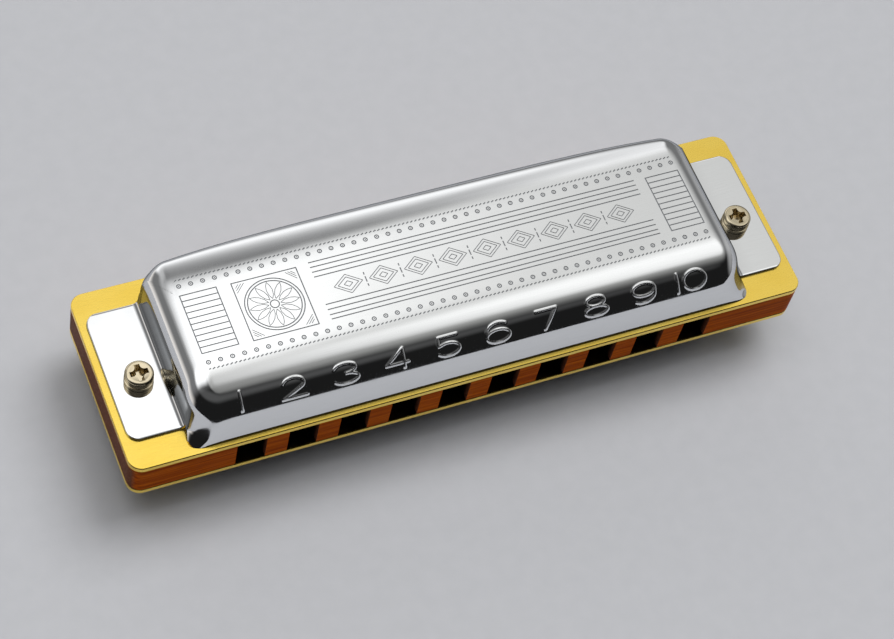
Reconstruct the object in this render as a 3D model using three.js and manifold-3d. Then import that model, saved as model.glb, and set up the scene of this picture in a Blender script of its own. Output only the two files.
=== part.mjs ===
// Ten-hole diatonic harmonica: a wooden comb between two brass reed plates, under two steel covers.
// Millimetres. +X runs along the length with hole 1 at -X, -Y is the mouth side and +Z is up.
// The origin is under the middle of the instrument, on the surface that it rests on.

import * as THREE from "three";
import { mergeVertices } from "three/addons/utils/BufferGeometryUtils.js";
import Module from "manifold-3d";

const wasm = await Module();
wasm.setup();

// ---------------------------------------------------------------- driving dimensions

const LENGTH = 101.6;
const DEPTH = 28.5;
const COMB_HEIGHT = 5.1;
const PLATE_THICKNESS = 0.9;
const COVER_HEIGHT = 7.0;
const CORNER_RADIUS = 2.0;
const SEAT_GAP = 0.02; // play between two faces that rest on each other

const HOLE_COUNT = 10;
const HOLE_PITCH = 7.5;
const HOLE_WIDTH = 4.3;

// The groove along each reed plate's front edge takes the front lip of its cover.
const GROOVE_FRONT_Y = -13.6;
const GROOVE_BACK_Y = -12.85;
const GROOVE_DEPTH = 0.4;

// Reeds get shorter from hole 1 to hole 10.
const LONGEST_SLOT = 15.5;
const SHORTEST_SLOT = 9.0;
const SLOT_WIDTH = 2.4;
const REED_WIDTH = 2.2;
const REED_THICKNESS = 0.25;
const REED_TIP_GAP = 0.1;
const PAD_LENGTH = 3.0;
const PAD_WIDTH = 3.2;
const BLOW_TIP_Y = -8.5; // blow reeds are riveted behind their slots, with their tips to the front
const DRAW_ROOT_Y = -8.4; // draw reeds are riveted in front of their slots, with their tips to the back
const CHAMBER_END_PLAY = 0.4;

const RIVET_RADIUS = 0.6;
const RIVET_HEAD_RADIUS = 1.1;
const RIVET_HEAD_HEIGHT = 0.35;
const RIVET_TAIL_RADIUS = 0.85;
const RIVET_TAIL_HEIGHT = 0.22;
const RIVET_PLAY = 0.05;

// Each cover is a pressed sheet: a hollow box, open at the back, with a fastening tab at each end.
const SHEET = 0.45;
const LIP_DEPTH = 0.3; // how far the front lip reaches into the groove
const COVER_FRONT_Y = -13.45;
const COVER_BACK_Y = 14.0;
const COVER_FOOT_X = 41.9;
const WALL_TOP_X = 40.75; // where the leaning end wall meets its top rounding
const WALL_TOP_Z = 5.2;
const ROOF_X = 38.5; // end of the flat roof
const FRONT_PLAN_RADIUS = 4.0;
const BACK_PLAN_RADIUS = 5.0;
const BACK_OPENING_HEIGHT = 4.4;
const BACK_OPENING_X = 38.9;
const HEM_WIDTH = 1.6;
const TAB_OUTER_X = 49.75;
const TAB_FRONT_Y = -10.0;
const TAB_BACK_Y = 10.4;
const TAB_RADIUS = 1.8;

// Two long screws with nuts hold both covers.
const COVER_SCREW_X = 45.6;
const COVER_SCREW_Y = -1.2;
const COVER_SCREW_RADIUS = 1.0;
const COVER_SCREW_HEAD_RADIUS = 2.05;
const COVER_SCREW_HEAD_HEIGHT = 1.85;
const COVER_SCREW_CHAMFER = 0.35;
const SCREW_PLAY = 0.15;
const RECESS_LENGTH = 2.7;
const RECESS_WIDTH = 0.6;
const RECESS_DEPTH = 1.1;
const NUT_RADIUS = 2.4; // to the corners of the hexagon
const NUT_HEIGHT = 1.6;
const SCREW_END = 0.3; // how far a cover screw stands out of its nut

// Six short screws, hidden by the covers, hold the reed plates to the comb.
const PLATE_SCREW_PLACES = [
  [-38.4, -9.0],
  [38.4, -9.0],
  [-38.4, 9.5],
  [38.4, 9.5],
  [-13.0, 11.8],
  [13.0, 11.8],
];
const PLATE_SCREW_RADIUS = 0.8;
const PLATE_SCREW_HEAD_RADIUS = 1.45;
const PLATE_SCREW_HEAD_HEIGHT = 0.8;
const PLATE_SCREW_CHAMFER = 0.2;
const PLATE_RECESS_LENGTH = 1.9;
const PLATE_RECESS_WIDTH = 0.4;
const PLATE_RECESS_DEPTH = 0.45;

// Heights worked out from the stack.
const LOWER_PLATE_Z = COVER_HEIGHT;
const COMB_Z = LOWER_PLATE_Z + PLATE_THICKNESS;
const UPPER_PLATE_Z = COMB_Z + COMB_HEIGHT;
const TOP_SEAT_Z = UPPER_PLATE_Z + PLATE_THICKNESS;
const MIDDLE_Z = COMB_Z + COMB_HEIGHT / 2;

const ROUND_SIDES = 12;
const HEAD_SIDES = 24;
const BEYOND = 1; // how far a cutting shape runs past what it cuts

// ---------------------------------------------------------------- materials

const brass = new THREE.MeshStandardMaterial({ color: 0xd9ac4a, roughness: 0.25, metalness: 1 });
const reedBrass = new THREE.MeshStandardMaterial({ color: 0xe0bb62, roughness: 0.35, metalness: 1 });
const steel = new THREE.MeshStandardMaterial({ color: 0xd4d6d8, roughness: 0.1, metalness: 1 });
const screwMetal = new THREE.MeshStandardMaterial({ color: 0xcbbf9c, roughness: 0.25, metalness: 1 });
const wood = new THREE.MeshStandardMaterial({ color: 0x8a4a24, roughness: 0.6, metalness: 0 });

// ---------------------------------------------------------------- solids from three.js geometry

function solidOf(geometry) {
  const bare = geometry.clone();
  bare.deleteAttribute("normal");
  bare.deleteAttribute("uv");
  const merged = mergeVertices(bare, 1e-4);
  return new wasm.Manifold(
    new wasm.Mesh({
      numProp: 3,
      vertProperties: merged.attributes.position.array,
      triVerts: new Uint32Array(merged.index.array),
    }),
  );
}

function meshOf(name, solid, material) {
  const { vertProperties, triVerts } = solid.getMesh();
  const geometry = new THREE.BufferGeometry();
  geometry.setAttribute("position", new THREE.BufferAttribute(vertProperties, 3));
  geometry.setIndex(new THREE.BufferAttribute(triVerts, 1));
  geometry.computeVertexNormals();
  const mesh = new THREE.Mesh(geometry, material.clone());
  mesh.name = name;
  return mesh;
}

function box(minX, maxX, minY, maxY, minZ, maxZ) {
  const geometry = new THREE.BoxGeometry(maxX - minX, maxY - minY, maxZ - minZ);
  geometry.translate((minX + maxX) / 2, (minY + maxY) / 2, (minZ + maxZ) / 2);
  return solidOf(geometry);
}

function extrusion(shape, length, curveSegments) {
  return new THREE.ExtrudeGeometry(shape, { depth: length, bevelEnabled: false, curveSegments });
}

// A plan outline in (x, y), raised from one height to another.
function upright(shape, minZ, maxZ, curveSegments = 6) {
  const geometry = extrusion(shape, maxZ - minZ, curveSegments);
  geometry.translate(0, 0, minZ);
  return solidOf(geometry);
}

// A section in (y, z), run along X.
function alongX(shape, minX, maxX, curveSegments = 8) {
  const geometry = extrusion(shape, maxX - minX, curveSegments);
  const turn = new THREE.Matrix4().makeBasis(
    new THREE.Vector3(0, 1, 0),
    new THREE.Vector3(0, 0, 1),
    new THREE.Vector3(1, 0, 0),
  );
  geometry.applyMatrix4(turn);
  geometry.translate(minX, 0, 0);
  return solidOf(geometry);
}

// A section in (x, z), run along Y.
function alongY(shape, minY, maxY, curveSegments = 8) {
  const geometry = extrusion(shape, maxY - minY, curveSegments);
  geometry.rotateX(Math.PI / 2);
  geometry.translate(0, maxY, 0);
  return solidOf(geometry);
}

// A solid of revolution about a vertical axis, from [radius, z] points that run upwards.
function turned(profile, x, y, sides) {
  const points = profile.map(([radius, z]) => new THREE.Vector2(radius, z));
  const geometry = new THREE.LatheGeometry(points, sides);
  geometry.rotateX(Math.PI / 2);
  geometry.scale(1, -1, 1);
  geometry.index.array.reverse();
  geometry.translate(x, y, 0);
  return solidOf(geometry);
}

function rod(radius, x, y, minZ, maxZ, sides = ROUND_SIDES) {
  return turned([[0, minZ], [radius, minZ], [radius, maxZ], [0, maxZ]], x, y, sides);
}

function roundedRectangle(minX, maxX, minY, maxY, frontRadius, backRadius = frontRadius) {
  const shape = new THREE.Shape();
  const quarter = Math.PI / 2;
  shape.absarc(minX + frontRadius, minY + frontRadius, frontRadius, 2 * quarter, 3 * quarter);
  shape.absarc(maxX - frontRadius, minY + frontRadius, frontRadius, 3 * quarter, 4 * quarter);
  shape.absarc(maxX - backRadius, maxY - backRadius, backRadius, 0, quarter);
  shape.absarc(minX + backRadius, maxY - backRadius, backRadius, quarter, 2 * quarter);
  shape.closePath();
  return shape;
}

// ---------------------------------------------------------------- places that pieces share

const holeX = (hole) => (hole - (HOLE_COUNT - 1) / 2) * HOLE_PITCH;
const slotLength = (hole) =>
  LONGEST_SLOT - ((LONGEST_SLOT - SHORTEST_SLOT) * hole) / (HOLE_COUNT - 1);

// Each reed has a root, where its slot ends, and points from there along Y.
const blowReed = (hole) => ({ x: holeX(hole), rootY: BLOW_TIP_Y + slotLength(hole), towards: -1 });
const drawReed = (hole) => ({ x: holeX(hole), rootY: DRAW_ROOT_Y, towards: 1 });
const rivetY = (reed) => reed.rootY - (reed.towards * PAD_LENGTH) / 2;

const holes = [...Array(HOLE_COUNT).keys()];
const coverScrewPlaces = [-1, 1].map((end) => [end * COVER_SCREW_X, COVER_SCREW_Y]);

// Holes for every screw that passes through the stack.
function screwHoles(minZ, maxZ) {
  const forCovers = coverScrewPlaces.map(([x, y]) =>
    rod(COVER_SCREW_RADIUS + SCREW_PLAY, x, y, minZ, maxZ),
  );
  const forPlates = PLATE_SCREW_PLACES.map(([x, y]) =>
    rod(PLATE_SCREW_RADIUS + SCREW_PLAY, x, y, minZ, maxZ),
  );
  return [...forCovers, ...forPlates];
}

const cutAll = (solid, cutters) => cutters.reduce((rest, cutter) => rest.subtract(cutter), solid);

// ---------------------------------------------------------------- comb

function comb() {
  const bottom = COMB_Z + SEAT_GAP;
  const top = UPPER_PLATE_Z - SEAT_GAP;
  const outline = roundedRectangle(-LENGTH / 2, LENGTH / 2, -DEPTH / 2, DEPTH / 2, CORNER_RADIUS);
  const chambers = holes.map((hole) => {
    const x = holeX(hole);
    const end = blowReed(hole).rootY + PAD_LENGTH + CHAMBER_END_PLAY;
    const front = -DEPTH / 2 - BEYOND;
    return box(x - HOLE_WIDTH / 2, x + HOLE_WIDTH / 2, front, end, bottom - BEYOND, top + BEYOND);
  });
  const cutters = [...chambers, ...screwHoles(bottom - BEYOND, top + BEYOND)];
  return meshOf("comb", cutAll(upright(outline, bottom, top), cutters), wood);
}

// ---------------------------------------------------------------- reed plates and reeds

// side is +1 for the upper plate and -1 for the lower one; its groove is on the outer face.
function reedPlate(name, bottom, side, reedAt) {
  const top = bottom + PLATE_THICKNESS;
  const outline = roundedRectangle(-LENGTH / 2, LENGTH / 2, -DEPTH / 2, DEPTH / 2, CORNER_RADIUS);
  const groove = box(
    -LENGTH / 2 - BEYOND,
    LENGTH / 2 + BEYOND,
    GROOVE_FRONT_Y,
    GROOVE_BACK_Y,
    side > 0 ? top - GROOVE_DEPTH : bottom - BEYOND,
    side > 0 ? top + BEYOND : bottom + GROOVE_DEPTH,
  );
  const slots = holes.map((hole) => {
    const { x, rootY, towards } = reedAt(hole);
    const tipY = rootY + towards * slotLength(hole);
    const ends = [Math.min(rootY, tipY), Math.max(rootY, tipY)];
    return box(x - SLOT_WIDTH / 2, x + SLOT_WIDTH / 2, ...ends, bottom - BEYOND, top + BEYOND);
  });
  const rivetHoles = holes.map((hole) => {
    const reed = reedAt(hole);
    return rod(RIVET_RADIUS + RIVET_PLAY, reed.x, rivetY(reed), bottom - BEYOND, top + BEYOND);
  });
  const cutters = [groove, ...slots, ...rivetHoles, ...screwHoles(bottom - BEYOND, top + BEYOND)];
  return meshOf(name, cutAll(upright(outline, bottom, top), cutters), brass);
}

// A flat spring tongue over its slot, with a wider riveted pad behind its root.
function reed(name, { x, rootY, towards }, hole, bottom) {
  const length = slotLength(hole) - REED_TIP_GAP;
  const tongueHalf = REED_WIDTH / 2;
  const padHalf = PAD_WIDTH / 2;
  const outline = new THREE.Shape();
  outline.moveTo(-padHalf, -PAD_LENGTH);
  outline.lineTo(padHalf, -PAD_LENGTH);
  outline.lineTo(padHalf, 0);
  outline.lineTo(tongueHalf, 0);
  outline.lineTo(tongueHalf, length);
  outline.lineTo(-tongueHalf, length);
  outline.lineTo(-tongueHalf, 0);
  outline.lineTo(-padHalf, 0);
  outline.closePath();
  const flat = upright(outline, 0, REED_THICKNESS);
  const hollow = rod(RIVET_RADIUS + RIVET_PLAY, 0, -PAD_LENGTH / 2, -BEYOND, BEYOND);
  const mesh = meshOf(name, flat.subtract(hollow), reedBrass);
  mesh.position.set(x, rootY, bottom);
  mesh.rotation.z = towards > 0 ? 0 : Math.PI;
  return mesh;
}

// The head holds the reed's pad, and the tail is set on the other side of the plate.
function rivet(name, reedPlace, headSide, plateBottom) {
  const plateTop = plateBottom + PLATE_THICKNESS;
  const reach = PLATE_THICKNESS + SEAT_GAP + REED_THICKNESS + SEAT_GAP;
  const profile = [
    [0, -RIVET_TAIL_HEIGHT - SEAT_GAP],
    [RIVET_TAIL_RADIUS, -RIVET_TAIL_HEIGHT - SEAT_GAP],
    [RIVET_TAIL_RADIUS, -SEAT_GAP],
    [RIVET_RADIUS, -SEAT_GAP],
    [RIVET_RADIUS, reach],
    [RIVET_HEAD_RADIUS, reach],
    [RIVET_HEAD_RADIUS, reach + RIVET_HEAD_HEIGHT],
    [0, reach + RIVET_HEAD_HEIGHT],
  ];
  const mesh = meshOf(name, turned(profile, 0, 0, ROUND_SIDES), reedBrass);
  mesh.position.set(reedPlace.x, rivetY(reedPlace), headSide > 0 ? plateBottom : plateTop);
  mesh.rotation.x = headSide > 0 ? 0 : Math.PI;
  return mesh;
}

// ---------------------------------------------------------------- covers

// The cover's outer shape, drawn in by inset, as the common part of three runs:
// a front-to-back section, an end-to-end section and a plan outline. Z starts at the cover's seat.
function coverBody(inset) {
  const roof = COVER_HEIGHT - inset;
  const front = COVER_FRONT_Y + inset;
  const back = COVER_BACK_Y - inset;
  const floor = inset > 0 ? -BEYOND : SEAT_GAP;
  const lip = inset > 0 ? -BEYOND : -LIP_DEPTH;

  const section = new THREE.Shape();
  section.moveTo(front, lip);
  section.lineTo(front + SHEET, lip);
  section.lineTo(front + SHEET, floor);
  section.lineTo(back, floor);
  section.lineTo(back, roof - 2.6);
  section.bezierCurveTo(back - 0.3, roof - 0.4, back - 2.2, roof, back - 5, roof);
  section.lineTo(front + 8, roof);
  section.bezierCurveTo(front + 3.9, roof, front + 1, roof - 1.8, front, lip);

  const foot = COVER_FOOT_X - inset;
  const wallTop = WALL_TOP_X - inset;
  const roofEnd = ROOF_X - inset;
  const lean = new THREE.Shape();
  lean.moveTo(-foot, -BEYOND);
  lean.lineTo(foot, -BEYOND);
  lean.lineTo(foot, 0);
  lean.lineTo(wallTop, WALL_TOP_Z - inset);
  lean.quadraticCurveTo(wallTop - 0.4, roof, roofEnd, roof);
  lean.lineTo(-roofEnd, roof);
  lean.quadraticCurveTo(0.4 - wallTop, roof, -wallTop, WALL_TOP_Z - inset);
  lean.lineTo(-foot, 0);
  lean.closePath();

  const frontRadius = FRONT_PLAN_RADIUS - inset;
  const backRadius = BACK_PLAN_RADIUS - inset;
  const plan = roundedRectangle(-foot, foot, front, back, frontRadius, backRadius);
  return alongX(section, -foot, foot)
    .intersect(alongY(lean, front, back))
    .intersect(upright(plan, -BEYOND, roof));
}

function coverSolid() {
  const opening = box(
    -BACK_OPENING_X,
    BACK_OPENING_X,
    COVER_BACK_Y - HEM_WIDTH,
    COVER_BACK_Y + BEYOND,
    -BEYOND,
    BACK_OPENING_HEIGHT,
  );
  const hem = box(
    -BACK_OPENING_X,
    BACK_OPENING_X,
    COVER_BACK_Y - HEM_WIDTH,
    COVER_BACK_Y,
    BACK_OPENING_HEIGHT - SHEET,
    BACK_OPENING_HEIGHT,
  );
  const shell = coverBody(0).subtract(coverBody(SHEET)).subtract(opening).add(hem);
  const tabs = [-1, 1].map((end) => {
    const inner = end * (COVER_FOOT_X - SHEET);
    const outer = end * TAB_OUTER_X;
    const ends = [Math.min(inner, outer), Math.max(inner, outer)];
    const outline = roundedRectangle(...ends, TAB_FRONT_Y, TAB_BACK_Y, TAB_RADIUS);
    const root = box(
      end > 0 ? inner : -COVER_FOOT_X - TAB_RADIUS,
      end > 0 ? COVER_FOOT_X + TAB_RADIUS : inner,
      TAB_FRONT_Y,
      TAB_BACK_Y,
      SEAT_GAP,
      SHEET,
    );
    return upright(outline, SEAT_GAP, SHEET).add(root);
  });
  const screwCuts = coverScrewPlaces.map(([x, y]) =>
    rod(COVER_SCREW_RADIUS + SCREW_PLAY, x, y, -BEYOND, SHEET + BEYOND),
  );
  return cutAll(tabs.reduce((whole, tab) => whole.add(tab), shell), screwCuts);
}

// Both covers are the same pressing: the lower one is turned over about the Y axis.
function covers() {
  const upper = meshOf("upper_cover", coverSolid(), steel);
  upper.position.z = TOP_SEAT_Z;
  const lower = meshOf("lower_cover", coverSolid(), steel);
  lower.rotation.y = Math.PI;
  lower.position.z = LOWER_PLATE_Z;
  return [upper, lower];
}

// ---------------------------------------------------------------- fasteners

function crossRecess(x, y, top, length, width, depth) {
  const along = box(x - length / 2, x + length / 2, y - width / 2, y + width / 2, top - depth, top + BEYOND);
  const across = box(x - width / 2, x + width / 2, y - length / 2, y + length / 2, top - depth, top + BEYOND);
  return along.add(across);
}

function coverScrew(name, [x, y]) {
  const seat = TOP_SEAT_Z + SHEET + SEAT_GAP;
  const top = seat + COVER_SCREW_HEAD_HEIGHT;
  const end = LOWER_PLATE_Z - SHEET - SEAT_GAP - NUT_HEIGHT - SCREW_END;
  const profile = [
    [0, end],
    [COVER_SCREW_RADIUS, end],
    [COVER_SCREW_RADIUS, seat],
    [COVER_SCREW_HEAD_RADIUS, seat],
    [COVER_SCREW_HEAD_RADIUS, top - COVER_SCREW_CHAMFER],
    [COVER_SCREW_HEAD_RADIUS - COVER_SCREW_CHAMFER, top],
    [0, top],
  ];
  const recess = crossRecess(x, y, top, RECESS_LENGTH, RECESS_WIDTH, RECESS_DEPTH);
  return meshOf(name, turned(profile, x, y, HEAD_SIDES).subtract(recess), screwMetal);
}

function coverNut(name, [x, y]) {
  const top = LOWER_PLATE_Z - SHEET - SEAT_GAP;
  const hexagon = rod(NUT_RADIUS, x, y, top - NUT_HEIGHT, top, 6);
  const bore = rod(COVER_SCREW_RADIUS + SCREW_PLAY, x, y, top - NUT_HEIGHT - BEYOND, top + BEYOND);
  return meshOf(name, hexagon.subtract(bore), screwMetal);
}

function plateScrew(name, [x, y]) {
  const seat = TOP_SEAT_Z + SEAT_GAP;
  const top = seat + PLATE_SCREW_HEAD_HEIGHT;
  const end = LOWER_PLATE_Z;
  const profile = [
    [0, end],
    [PLATE_SCREW_RADIUS, end],
    [PLATE_SCREW_RADIUS, seat],
    [PLATE_SCREW_HEAD_RADIUS, seat],
    [PLATE_SCREW_HEAD_RADIUS, top - PLATE_SCREW_CHAMFER],
    [PLATE_SCREW_HEAD_RADIUS - PLATE_SCREW_CHAMFER, top],
    [0, top],
  ];
  const recess = crossRecess(x, y, top, PLATE_RECESS_LENGTH, PLATE_RECESS_WIDTH, PLATE_RECESS_DEPTH);
  return meshOf(name, turned(profile, x, y, ROUND_SIDES).subtract(recess), screwMetal);
}

// ---------------------------------------------------------------- assembly

const harmonica = new THREE.Group();
harmonica.add(comb());
harmonica.add(reedPlate("upper_reed_plate", UPPER_PLATE_Z, 1, blowReed));
harmonica.add(reedPlate("lower_reed_plate", LOWER_PLATE_Z, -1, drawReed));
harmonica.add(...covers());

for (const hole of holes) {
  const label = String(hole + 1).padStart(2, "0");
  const blow = blowReed(hole);
  const draw = drawReed(hole);
  const blowBottom = UPPER_PLATE_Z - SEAT_GAP - REED_THICKNESS;
  const drawBottom = LOWER_PLATE_Z - SEAT_GAP - REED_THICKNESS;
  harmonica.add(reed(`blow_reed_${label}`, blow, hole, blowBottom));
  harmonica.add(reed(`draw_reed_${label}`, draw, hole, drawBottom));
  harmonica.add(rivet(`blow_rivet_${label}`, blow, -1, UPPER_PLATE_Z));
  harmonica.add(rivet(`draw_rivet_${label}`, draw, -1, LOWER_PLATE_Z));
}

coverScrewPlaces.forEach((place, index) => {
  const end = index === 0 ? "left" : "right";
  harmonica.add(coverScrew(`cover_screw_${end}`, place));
  harmonica.add(coverNut(`cover_nut_${end}`, place));
});
PLATE_SCREW_PLACES.forEach((place, index) => {
  harmonica.add(plateScrew(`plate_screw_${index + 1}`, place));
});

export default harmonica;
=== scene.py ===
# The looks of a ten-hole diatonic harmonica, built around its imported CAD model.
# Lengths are millimetres in the model's own frame; new_mesh turns them into metres.

import math

import bpy
import numpy as np
from mathutils import Matrix, Vector
from mathutils.geometry import delaunay_2d_cdt


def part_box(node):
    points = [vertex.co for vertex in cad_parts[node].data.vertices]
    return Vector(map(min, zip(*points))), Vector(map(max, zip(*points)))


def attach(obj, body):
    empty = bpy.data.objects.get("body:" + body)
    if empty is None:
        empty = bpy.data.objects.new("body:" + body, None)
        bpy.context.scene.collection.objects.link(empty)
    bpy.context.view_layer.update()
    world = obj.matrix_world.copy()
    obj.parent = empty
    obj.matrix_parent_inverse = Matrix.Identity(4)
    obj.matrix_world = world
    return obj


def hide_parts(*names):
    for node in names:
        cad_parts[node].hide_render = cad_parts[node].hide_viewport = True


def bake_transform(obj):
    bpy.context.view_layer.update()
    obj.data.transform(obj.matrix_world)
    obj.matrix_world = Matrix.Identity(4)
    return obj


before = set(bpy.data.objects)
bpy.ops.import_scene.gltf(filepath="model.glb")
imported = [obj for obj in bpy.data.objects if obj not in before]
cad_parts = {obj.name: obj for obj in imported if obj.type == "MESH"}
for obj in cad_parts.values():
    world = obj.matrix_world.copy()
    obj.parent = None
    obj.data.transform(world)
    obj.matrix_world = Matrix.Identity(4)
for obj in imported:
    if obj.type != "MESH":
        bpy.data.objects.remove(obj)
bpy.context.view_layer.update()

MM = 0.001
BODY = "instrument"


def cad_box_mm(node):
    low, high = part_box(node)
    return np.array(low) / MM, np.array(high) / MM


def node_centre(node):
    low, high = cad_box_mm(node)
    return (low + high) / 2


# ---------------------------------------------------------------- places taken from the frame

PLATE_HIGH = cad_box_mm("upper_reed_plate")[1]
COVER_LOW, COVER_HIGH = cad_box_mm("upper_cover")

TOP_SEAT = PLATE_HIGH[2]
LOWER_SEAT = cad_box_mm("lower_reed_plate")[0][2]
HALF_LENGTH = PLATE_HIGH[0]
HALF_DEPTH = PLATE_HIGH[1]
ROOF_Z = COVER_HIGH[2] - TOP_SEAT
TAB_END_X = COVER_HIGH[0]
COVER_BACK_Y = COVER_HIGH[1]
COVER_FRONT_Y = COVER_LOW[1] - 0.2  # the lip stands a little further forward, right behind the rib
COVER_LIP_Z = COVER_LOW[2] - TOP_SEAT
SCREW_X, SCREW_Y, _ = node_centre("cover_screw_right")

HOLE_COUNT = 10
HOLE_PITCH = 7.5
HOLE_WIDTH = 4.3
CORNER_RADIUS = 2.0


def hole_x(hole):
    return (hole - (HOLE_COUNT - 1) / 2) * HOLE_PITCH


# ---------------------------------------------------------------- shader helpers


def set_inputs(node, **values):
    """Sets a node's inputs by name, with an underscore for each space."""
    for name, value in values.items():
        node.inputs[name.replace("_", " ")].default_value = value
    return node


class Nodes:
    """A node tree, with short ways to add and link nodes."""

    def __init__(self, owner):
        owner.use_nodes = True
        self.tree = owner.node_tree

    def node(self, kind, **settings):
        made = self.tree.nodes.new(kind)
        for key, value in settings.items():
            setattr(made, key, value)
        return made

    def link(self, source, target):
        self.tree.links.new(source, target)

    def math(self, operation, *sources):
        made = self.node("ShaderNodeMath", operation=operation)
        for source, target in zip(sources, made.inputs):
            self.link(source, target)
        return made.outputs[0]


class Shader(Nodes):
    """A material's nodes, from the textures to the surface."""

    def __init__(self, name):
        self.material = bpy.data.materials.new(name)
        super().__init__(self.material)
        self.surface = self.tree.nodes["Principled BSDF"]
        self.place = self.node("ShaderNodeTexCoord").outputs["Object"]

    def noise(self, per_mm, detail=3.0, roughness=0.5, distortion=0.0):
        """Noise that runs at per_mm = (x, y, z) units for each millimetre."""
        mapping = set_inputs(self.node("ShaderNodeMapping"), Scale=[value / MM for value in per_mm])
        texture = self.node("ShaderNodeTexNoise")
        set_inputs(texture, Scale=1.0, Detail=detail, Roughness=roughness, Distortion=distortion)
        self.link(self.place, mapping.inputs["Vector"])
        self.link(mapping.outputs["Vector"], texture.inputs["Vector"])
        return texture.outputs["Fac"]

    def ramp(self, source, *stops):
        """Each stop is (position, colour)."""
        made = self.node("ShaderNodeValToRGB")
        elements = made.color_ramp.elements
        while len(elements) < len(stops):
            elements.new(0.5)
        for element, (position, colour) in zip(elements, stops):
            element.position = position
            element.color = (*colour, 1.0)
        self.link(source, made.inputs["Fac"])
        return made.outputs["Color"]

    def spread(self, source, low, high, out_low, out_high):
        made = self.node("ShaderNodeMapRange")
        set_inputs(made, From_Min=low, From_Max=high, To_Min=out_low, To_Max=out_high)
        self.link(source, made.inputs["Value"])
        return made.outputs["Result"]

    def value(self, number):
        made = self.node("ShaderNodeValue")
        made.outputs[0].default_value = number
        return made.outputs[0]

    def mix(self, factor, first, second, blend_type="MIX"):
        made = self.node("ShaderNodeMix", data_type="RGBA", blend_type=blend_type)
        self.link(factor, made.inputs["Factor"])
        self.link(first, made.inputs[6])
        self.link(second, made.inputs[7])
        return made.outputs[2]

    def axes(self, vector):
        made = self.node("ShaderNodeSeparateXYZ")
        self.link(vector, made.inputs[0])
        return made.outputs

    def metal(self, colour, roughness):
        set_inputs(self.surface, Base_Color=(*colour, 1.0), Metallic=1.0, Roughness=roughness)

    def tone(self, source, dark, light):
        """The surface's colour runs from dark to light as the source rises."""
        self.link(self.ramp(source, (0.3, dark), (0.7, light)), self.surface.inputs["Base Color"])

    def dullness(self, source, low, high, start=0.3):
        """The surface's roughness runs from low to high as the source rises."""
        self.link(self.spread(source, start, 0.7, low, high), self.surface.inputs["Roughness"])

    def dent(self, source, strength, depth_mm=0.02):
        """The source bumps the surface."""
        made = set_inputs(self.node("ShaderNodeBump"), Strength=strength, Distance=depth_mm * MM)
        self.link(source, made.inputs["Height"])
        self.link(made.outputs["Normal"], self.surface.inputs["Normal"])


def polished_steel():
    """Mirror-finished sheet that darkens at grazing angles, with faint polishing lines and smudges."""
    shader = Shader("polished_steel")
    shader.metal((0.80, 0.81, 0.82), 0.07)
    set_inputs(shader.surface, Specular_Tint=(0.26, 0.27, 0.28, 1.0))
    lines = shader.noise((0.25, 9.0, 9.0), detail=4.0, roughness=0.6)
    shader.tone(lines, (0.78, 0.79, 0.80), (0.82, 0.83, 0.84))
    shader.dullness(shader.noise((0.12, 0.16, 0.2)), 0.05, 0.1, start=0.35)
    shader.dent(lines, 0.012)
    return shader.material


def pressed_steel():
    """The crests of the raised numbers, left satin by the press and the polishing wheel."""
    shader = Shader("pressed_steel")
    shader.metal((0.72, 0.73, 0.74), 0.3)
    grain = shader.noise((3.0, 12.0, 12.0))
    shader.tone(grain, (0.64, 0.65, 0.66), (0.78, 0.79, 0.80))
    shader.dullness(grain, 0.24, 0.36)
    shader.dent(grain, 0.05)
    return shader.material


def etched_steel():
    """The floor of the engraved lines: dull and a little darker than the polished sheet."""
    shader = Shader("etched_steel")
    shader.metal((0.3, 0.31, 0.33), 0.42)
    grain = shader.noise((14.0, 14.0, 14.0), detail=2.0)
    shader.tone(grain, (0.22, 0.23, 0.25), (0.38, 0.39, 0.41))
    shader.dent(grain, 0.3)
    return shader.material


def plate_brass():
    """Polished yellow brass with a fine satin grain along the plate."""
    shader = Shader("plate_brass")
    shader.metal((0.97, 0.70, 0.14), 0.24)
    grain = shader.noise((0.5, 12.0, 12.0), detail=4.0, roughness=0.65)
    shader.tone(shader.noise((0.09, 0.2, 0.3)), (0.94, 0.66, 0.11), (0.99, 0.73, 0.155))
    shader.dullness(grain, 0.22, 0.29)
    shader.dent(grain, 0.03)
    return shader.material


def tarnished_brass():
    """The plates' inner faces: very dark brown, unpolished brass, whose darkness is painted shade for the
    inside of the air chambers.
    """
    shader = Shader("tarnished_brass")
    # painted shade: the inner faces are coloured near black to stand for the shade inside the chambers
    shader.metal((0.05, 0.03, 0.012), 0.5)
    shade_mottle = shader.noise((0.8, 0.8, 0.8), detail=5.0, roughness=0.6)
    shader.tone(shade_mottle, (0.022, 0.012, 0.005), (0.075, 0.045, 0.018))
    shader.dullness(shade_mottle, 0.4, 0.6)
    shader.dent(shade_mottle, 0.15, 0.03)
    return shader.material


def reed_brass():
    """Paler reed brass, ground across the tongue."""
    shader = Shader("reed_brass")
    shader.metal((0.88, 0.70, 0.36), 0.3)
    grinding = shader.noise((2.0, 22.0, 6.0), roughness=0.6)
    shader.tone(grinding, (0.80, 0.61, 0.28), (0.93, 0.76, 0.42))
    shader.dullness(grinding, 0.24, 0.4)
    shader.dent(grinding, 0.2)
    return shader.material


def screw_metal():
    """Pale gold-tinted nickel plating with fine turning marks."""
    shader = Shader("screw_metal")
    shader.metal((0.62, 0.54, 0.38), 0.18)
    set_inputs(shader.surface, Specular_Tint=(0.4, 0.36, 0.3, 1.0))
    marks = shader.noise((1.2, 1.2, 18.0), roughness=0.6)
    shader.tone(marks, (0.56, 0.48, 0.33), (0.68, 0.60, 0.44))
    shader.dullness(marks, 0.1, 0.2)
    shader.dent(marks, 0.08)
    return shader.material


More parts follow.
